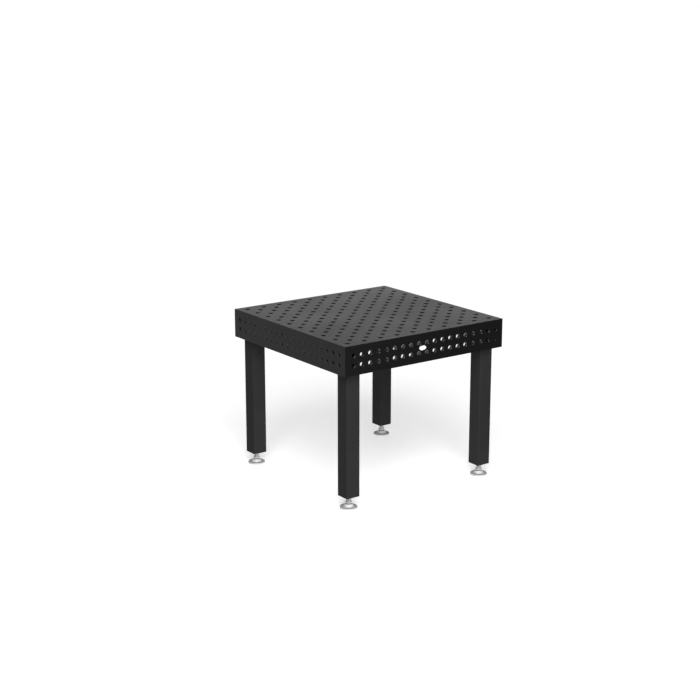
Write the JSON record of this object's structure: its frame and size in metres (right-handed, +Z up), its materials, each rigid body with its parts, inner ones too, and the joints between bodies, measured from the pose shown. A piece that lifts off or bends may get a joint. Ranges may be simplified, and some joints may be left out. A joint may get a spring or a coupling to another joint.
{
  "type": "perforated welding table",
  "caption": "Square perforated steel welding table with drilled side walls, four square tube legs and screw levelling feet with tilting pads.",
  "frame": {"origin": "on the floor, under the centre of the top", "axes": "+Z up, +Y from the front wall, which carries the badge, to the rear wall, +X along the front wall to the right"},
  "size_m": [1, 1.0015, 0.85],
  "materials": {
    "table_top": "dark treated steel, ground flat, fine scratches",
    "table_walls": "dark treated steel",
    "ribs": "dark treated steel, as cut",
    "leg_paint": "dark grey satin paint",
    "bolt_steel": "black oxide",
    "plated_steel": "bright zinc plate, turned",
    "seat_plastic": "natural nylon",
    "badge_enamel": "white enamel with a thin rim, blank"
  },
  "bodies": {
    "table": {"top_plate": "table_top", "front_wall": "table_walls", "rear_wall": "table_walls", "left_wall": "table_walls", "right_wall": "table_walls", "long_rib": "ribs", "cross_rib_left": "ribs", "cross_rib_right": "ribs", "leg_mount_block_front_left": "ribs", "leg_head_plate_front_left": "leg_paint", "leg_tube_front_left": "leg_paint", "foot_plate_front_left": "leg_paint", "leg_bolt_front_left_1": "bolt_steel", "leg_bolt_front_left_2": "bolt_steel", "leg_bolt_front_left_3": "bolt_steel", "leg_bolt_front_left_4": "bolt_steel", "leg_mount_block_front_right": "ribs", "leg_head_plate_front_right": "leg_paint", "leg_tube_front_right": "leg_paint", "foot_plate_front_right": "leg_paint", "leg_bolt_front_right_1": "bolt_steel", "leg_bolt_front_right_2": "bolt_steel", "leg_bolt_front_right_3": "bolt_steel", "leg_bolt_front_right_4": "bolt_steel", "leg_mount_block_rear_left": "ribs", "leg_head_plate_rear_left": "leg_paint", "leg_tube_rear_left": "leg_paint", "foot_plate_rear_left": "leg_paint", "leg_bolt_rear_left_1": "bolt_steel", "leg_bolt_rear_left_2": "bolt_steel", "leg_bolt_rear_left_3": "bolt_steel", "leg_bolt_rear_left_4": "bolt_steel", "leg_mount_block_rear_right": "ribs", "leg_head_plate_rear_right": "leg_paint", "leg_tube_rear_right": "leg_paint", "foot_plate_rear_right": "leg_paint", "leg_bolt_rear_right_1": "bolt_steel", "leg_bolt_rear_right_2": "bolt_steel", "leg_bolt_rear_right_3": "bolt_steel", "leg_bolt_rear_right_4": "bolt_steel", "badge": "badge_enamel"},
    "foot_carrier_front_left": {"ball_seat_front_left": "seat_plastic"},
    "foot_screw_front_left": {"spindle_front_left": "plated_steel"},
    "foot_base_front_left": {"foot_pad_front_left": "plated_steel"},
    "lock_nut_front_left": {"jam_nut_front_left": "plated_steel"},
    "foot_carrier_front_right": {"ball_seat_front_right": "seat_plastic"},
    "foot_screw_front_right": {"spindle_front_right": "plated_steel"},
    "foot_base_front_right": {"foot_pad_front_right": "plated_steel"},
    "lock_nut_front_right": {"jam_nut_front_right": "plated_steel"},
    "foot_carrier_rear_left": {"ball_seat_rear_left": "seat_plastic"},
    "foot_screw_rear_left": {"spindle_rear_left": "plated_steel"},
    "foot_base_rear_left": {"foot_pad_rear_left": "plated_steel"},
    "lock_nut_rear_left": {"jam_nut_rear_left": "plated_steel"},
    "foot_carrier_rear_right": {"ball_seat_rear_right": "seat_plastic"},
    "foot_screw_rear_right": {"spindle_rear_right": "plated_steel"},
    "foot_base_rear_right": {"foot_pad_rear_right": "plated_steel"},
    "lock_nut_rear_right": {"jam_nut_rear_right": "plated_steel"}
  },
  "joints": [
    {"name": "foot_height_front_left", "type": "slide", "parent": "table", "child": "foot_carrier_front_left", "axis": [0, 0, 1], "range_m": [-0.04, 0.0155]},
    {"name": "spindle_turn_front_left", "type": "hinge", "parent": "foot_carrier_front_left", "child": "foot_screw_front_left", "pos_m": [-0.425, -0.425, 0.05], "axis": [0, 0, 1], "range_deg": [-4800, 1860]},
    {"name": "pad_tilt_front_left", "type": "hinge", "parent": "foot_carrier_front_left", "child": "foot_base_front_left", "pos_m": [-0.425, -0.425, 0.013], "axis": [1, 0, 0], "range_deg": [-5, 5]},
    {"name": "nut_turn_front_left", "type": "hinge", "parent": "table", "child": "lock_nut_front_left", "pos_m": [-0.425, -0.425, 0.057], "axis": [0, 0, 1], "range_deg": [-90, 0]},
    {"name": "foot_height_front_right", "type": "slide", "parent": "table", "child": "foot_carrier_front_right", "axis": [0, 0, 1], "range_m": [-0.04, 0.0155]},
    {"name": "spindle_turn_front_right", "type": "hinge", "parent": "foot_carrier_front_right", "child": "foot_screw_front_right", "pos_m": [0.425, -0.425, 0.05], "axis": [0, 0, 1], "range_deg": [-4800, 1860]},
    {"name": "pad_tilt_front_right", "type": "hinge", "parent": "foot_carrier_front_right", "child": "foot_base_front_right", "pos_m": [0.425, -0.425, 0.013], "axis": [1, 0, 0], "range_deg": [-5, 5]},
    {"name": "nut_turn_front_right", "type": "hinge", "parent": "table", "child": "lock_nut_front_right", "pos_m": [0.425, -0.425, 0.057], "axis": [0, 0, 1], "range_deg": [-90, 0]},
    {"name": "foot_height_rear_left", "type": "slide", "parent": "table", "child": "foot_carrier_rear_left", "axis": [0, 0, 1], "range_m": [-0.04, 0.0155]},
    {"name": "spindle_turn_rear_left", "type": "hinge", "parent": "foot_carrier_rear_left", "child": "foot_screw_rear_left", "pos_m": [-0.425, 0.425, 0.05], "axis": [0, 0, 1], "range_deg": [-4800, 1860]},
    {"name": "pad_tilt_rear_left", "type": "hinge", "parent": "foot_carrier_rear_left", "child": "foot_base_rear_left", "pos_m": [-0.425, 0.425, 0.013], "axis": [1, 0, 0], "range_deg": [-5, 5]},
    {"name": "nut_turn_rear_left", "type": "hinge", "parent": "table", "child": "lock_nut_rear_left", "pos_m": [-0.425, 0.425, 0.057], "axis": [0, 0, 1], "range_deg": [-90, 0]},
    {"name": "foot_height_rear_right", "type": "slide", "parent": "table", "child": "foot_carrier_rear_right", "axis": [0, 0, 1], "range_m": [-0.04, 0.0155]},
    {"name": "spindle_turn_rear_right", "type": "hinge", "parent": "foot_carrier_rear_right", "child": "foot_screw_rear_right", "pos_m": [0.425, 0.425, 0.05], "axis": [0, 0, 1], "range_deg": [-4800, 1860]},
    {"name": "pad_tilt_rear_right", "type": "hinge", "parent": "foot_carrier_rear_right", "child": "foot_base_rear_right", "pos_m": [0.425, 0.425, 0.013], "axis": [1, 0, 0], "range_deg": [-5, 5]},
    {"name": "nut_turn_rear_right", "type": "hinge", "parent": "table", "child": "lock_nut_rear_right", "pos_m": [0.425, 0.425, 0.057], "axis": [0, 0, 1], "range_deg": [-90, 0]}
  ],
  "couplings": [
    {"joint": "spindle_turn_front_left", "follows": "foot_height_front_left", "rad_per_m": 2094.4},
    {"joint": "spindle_turn_front_right", "follows": "foot_height_front_right", "rad_per_m": 2094.4},
    {"joint": "spindle_turn_rear_left", "follows": "foot_height_rear_left", "rad_per_m": 2094.4},
    {"joint": "spindle_turn_rear_right", "follows": "foot_height_rear_right", "rad_per_m": 2094.4}
  ]
}
